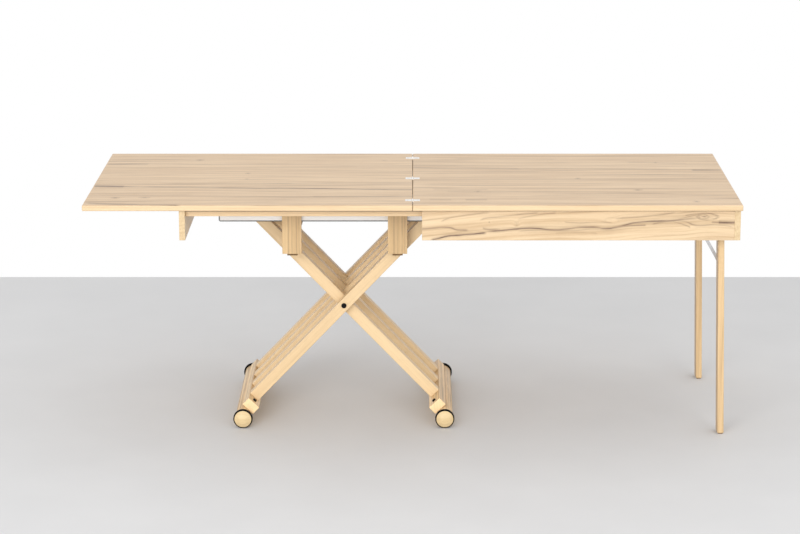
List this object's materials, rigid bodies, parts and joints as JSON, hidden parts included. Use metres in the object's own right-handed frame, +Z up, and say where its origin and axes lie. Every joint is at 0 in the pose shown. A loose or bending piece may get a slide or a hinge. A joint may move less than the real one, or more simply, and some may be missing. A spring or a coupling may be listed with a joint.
{
  "type": "convertible coffee dining table",
  "caption": "Wooden table that slides out and unfolds from a low coffee table to a long dining table, on crossed legs with wheels and fold-out end legs.",
  "frame": {"origin": "on the floor under the middle of the seam between the leaves, at the middle of the table's depth", "axes": "+X along the table from the hinged leaf to the boxed leaf, +Y to the back, +Z up"},
  "size_m": [2.003, 0.8, 0.7507],
  "materials": {
    "leaf_wood": "satin lacquered pale oak veneer",
    "apron_wood": "satin lacquered pale oak",
    "frame_wood": "satin lacquered pale ash",
    "leg_wood": "satin lacquered pale ash",
    "channel_steel": "light grey coated steel",
    "hinge_steel": "satin nickel",
    "axle_steel": "zinc plated steel",
    "stay_steel": "zinc plated steel",
    "black_steel": "black oxide",
    "tyre_rubber": "matt black rubber",
    "dark_nylon": "matt dark nylon"
  },
  "bodies": {
    "sub_frame": {"front_rail": "frame_wood", "rear_rail": "frame_wood", "left_end_board": "apron_wood", "cross_battens": "frame_wood", "hanger_battens": "frame_wood", "front_guide_channel": "channel_steel", "rear_guide_channel": "channel_steel", "front_left_guide_block": "frame_wood", "front_right_guide_block": "frame_wood", "rear_left_guide_block": "frame_wood", "rear_right_guide_block": "frame_wood", "guide_pads": "dark_nylon"},
    "box": {"right_leaf": "leaf_wood", "fixed_hinge_plates": "hinge_steel", "hinge_pins": "hinge_steel", "front_apron": "apron_wood", "rear_apron": "apron_wood", "right_end_board": "apron_wood", "runner_battens": "frame_wood", "leg_bearings": "frame_wood", "stay_guides": "stay_steel"},
    "flip_leaf": {"left_leaf": "leaf_wood", "flip_hinge_plates": "hinge_steel"},
    "glide_a": {"top_axle_a": "axle_steel", "glide_blocks_a": "dark_nylon"},
    "leg_frame_a": {"leg_a1": "leg_wood", "leg_a2": "leg_wood", "leg_a3": "leg_wood", "leg_a4": "leg_wood", "left_foot_bar": "leg_wood", "left_foot_beam": "leg_wood", "left_foot_bolts": "black_steel", "left_wheel_axles": "axle_steel", "pivot_axle": "axle_steel", "pivot_caps": "black_steel", "pivot_spacers": "dark_nylon"},
    "leg_frame_b": {"leg_b1": "leg_wood", "leg_b2": "leg_wood", "leg_b3": "leg_wood", "right_foot_bar": "leg_wood", "right_foot_beam": "leg_wood", "right_foot_bolts": "black_steel", "right_wheel_axles": "axle_steel"},
    "glide_b": {"top_axle_b": "axle_steel", "glide_blocks_b": "dark_nylon"},
    "front_left_roller": {"front_left_wheel": "leg_wood", "front_left_tyre": "tyre_rubber"},
    "rear_left_roller": {"rear_left_wheel": "leg_wood", "rear_left_tyre": "tyre_rubber"},
    "front_right_roller": {"front_right_wheel": "leg_wood", "front_right_tyre": "tyre_rubber"},
    "rear_right_roller": {"rear_right_wheel": "leg_wood", "rear_right_tyre": "tyre_rubber"},
    "fold_legs": {"front_fold_leg": "leg_wood", "rear_fold_leg": "leg_wood", "fold_leg_axle": "axle_steel", "foot_glides": "dark_nylon", "stay_leg_pins": "stay_steel"},
    "stays": {"stays": "stay_steel"}
  },
  "joints": [
    {"name": "box_slide", "type": "slide", "parent": "sub_frame", "child": "box", "axis": [-1, 0, 0], "range_m": [0, 0.7195]},
    {"name": "leaf_flip", "type": "hinge", "parent": "box", "child": "flip_leaf", "pos_m": [0, 0, 0.7484], "axis": [0, 1, 0], "range_deg": [0, 180]},
    {"name": "leg_fold", "type": "hinge", "parent": "glide_a", "child": "leg_frame_a", "pos_m": [0.0647, 0, 0.669], "axis": [0, 1, 0], "range_deg": [0, 23.5]},
    {"name": "glide_a_slide", "type": "slide", "parent": "sub_frame", "child": "glide_a", "axis": [1, 0, 0], "range_m": [0, 0.0945]},
    {"name": "leg_cross", "type": "hinge", "parent": "leg_frame_a", "child": "leg_frame_b", "pos_m": [-0.21625, 0, 0.375], "axis": [0, 1, 0], "range_deg": [-47.5, 0]},
    {"name": "glide_b_turn", "type": "hinge", "parent": "leg_frame_b", "child": "glide_b", "pos_m": [-0.4972, 0, 0.669], "axis": [0, 1, 0], "range_deg": [0, 24]},
    {"name": "fold_legs_swing", "type": "hinge", "parent": "box", "child": "fold_legs", "pos_m": [0.945, 0, 0.68], "axis": [0, 1, 0], "range_deg": [0, 91.45]},
    {"name": "stay_turn", "type": "hinge", "parent": "fold_legs", "child": "stays", "pos_m": [0.94854, 0, 0.53995], "axis": [0, 1, 0], "range_deg": [0, 10]},
    {"name": "front_left_wheel_spin", "type": "hinge", "parent": "leg_frame_a", "child": "front_left_roller", "pos_m": [-0.53392, -0.262, 0.0303], "axis": [0, 1, 0], "continuous": true},
    {"name": "rear_left_wheel_spin", "type": "hinge", "parent": "leg_frame_a", "child": "rear_left_roller", "pos_m": [-0.53392, 0.262, 0.0303], "axis": [0, 1, 0], "continuous": true},
    {"name": "front_right_wheel_spin", "type": "hinge", "parent": "leg_frame_b", "child": "front_right_roller", "pos_m": [0.10142, -0.262, 0.0303], "axis": [0, 1, 0], "continuous": true},
    {"name": "rear_right_wheel_spin", "type": "hinge", "parent": "leg_frame_b", "child": "rear_right_roller", "pos_m": [0.10142, 0.262, 0.0303], "axis": [0, 1, 0], "continuous": true}
  ],
  "couplings": [
    {"joint": "glide_a_slide", "follows": "leg_fold", "m_per_rad": 0.22901},
    {"joint": "leg_cross", "follows": "leg_fold", "ratio": -2},
    {"joint": "glide_b_turn", "follows": "leg_fold", "ratio": 1},
    {"joint": "stay_turn", "follows": "fold_legs_swing", "ratio": 0.092619}
  ]
}
